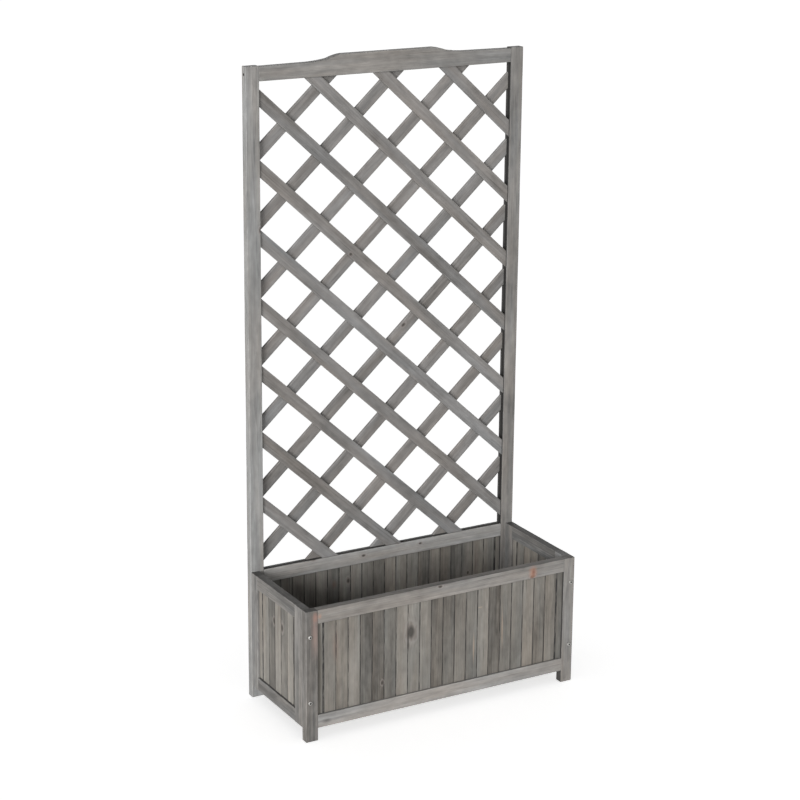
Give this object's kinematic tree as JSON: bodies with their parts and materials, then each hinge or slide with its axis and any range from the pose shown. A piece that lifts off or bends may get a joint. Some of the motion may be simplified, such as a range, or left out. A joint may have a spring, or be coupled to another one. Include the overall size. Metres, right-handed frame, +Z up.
{
  "type": "planter with trellis",
  "caption": "Rectangular slatted wooden planter box on four feet, with a tall diagonal lattice trellis under an arched top rail rising from its back.",
  "frame": {"origin": "bottom centre of the object, on the floor between its four feet", "axes": "+X to the right and +Y to the back as seen from the front of the box, +Z up along the posts"},
  "size_m": [0.715, 0.3012, 1.5],
  "materials": {
    "beech_dowels": "bare beech",
    "floor_timber": "sawn softwood with a thin grey stain",
    "plain_steel": "bright zinc-plated steel",
    "stained_boards": "softwood boards with a matt grey-brown stain",
    "stained_frame": "planed softwood with a matt grey stain, eased edges",
    "stained_slats": "thin planed softwood slats with a matt grey stain",
    "zinc_screws": "zinc-plated round heads with a hexagon socket"
  },
  "bodies": {
    "root": {"arch_rail_screws": "plain_steel", "arched_top_rail": "stained_frame", "back_boards": "stained_boards", "cleat_screws": "plain_steel", "corner_dowels": "beech_dowels", "floor_nails": "plain_steel", "floor_slat_1": "floor_timber", "floor_slat_2": "floor_timber", "floor_slat_3": "floor_timber", "floor_slat_4": "floor_timber", "floor_slat_5": "floor_timber", "floor_slat_6": "floor_timber", "floor_slat_7": "floor_timber", "floor_slat_8": "floor_timber", "frame_screws": "zinc_screws", "front_boards": "stained_boards", "front_bottom_rail": "stained_frame", "front_cleat": "floor_timber", "front_left_leg": "stained_frame", "front_right_leg": "stained_frame", "front_top_rail": "stained_frame", "lattice_back_01": "stained_slats", "lattice_back_02": "stained_slats", "lattice_back_03": "stained_slats", "lattice_back_04": "stained_slats", "lattice_back_05": "stained_slats", "lattice_back_06": "stained_slats", "lattice_back_07": "stained_slats", "lattice_back_08": "stained_slats", "lattice_back_09": "stained_slats", "lattice_back_10": "stained_slats", "lattice_front_01": "stained_slats", "lattice_front_02": "stained_slats", "lattice_front_03": "stained_slats", "lattice_front_04": "stained_slats", "lattice_front_05": "stained_slats", "lattice_front_06": "stained_slats", "lattice_front_07": "stained_slats", "lattice_front_08": "stained_slats", "lattice_front_09": "stained_slats", "lattice_front_10": "stained_slats", "lattice_pins": "plain_steel", "left_end_boards": "stained_boards", "left_end_bottom_rail": "stained_frame", "left_end_front_stile": "stained_frame", "left_end_rear_stile": "stained_frame", "left_end_top_rail": "stained_frame", "middle_rail": "stained_frame", "rear_bottom_rail": "stained_frame", "rear_cleat": "floor_timber", "rear_left_post": "stained_frame", "rear_right_post": "stained_frame", "right_end_boards": "stained_boards", "right_end_bottom_rail": "stained_frame", "right_end_front_stile": "stained_frame", "right_end_rear_stile": "stained_frame", "right_end_top_rail": "stained_frame"}
  },
  "joints": []
}
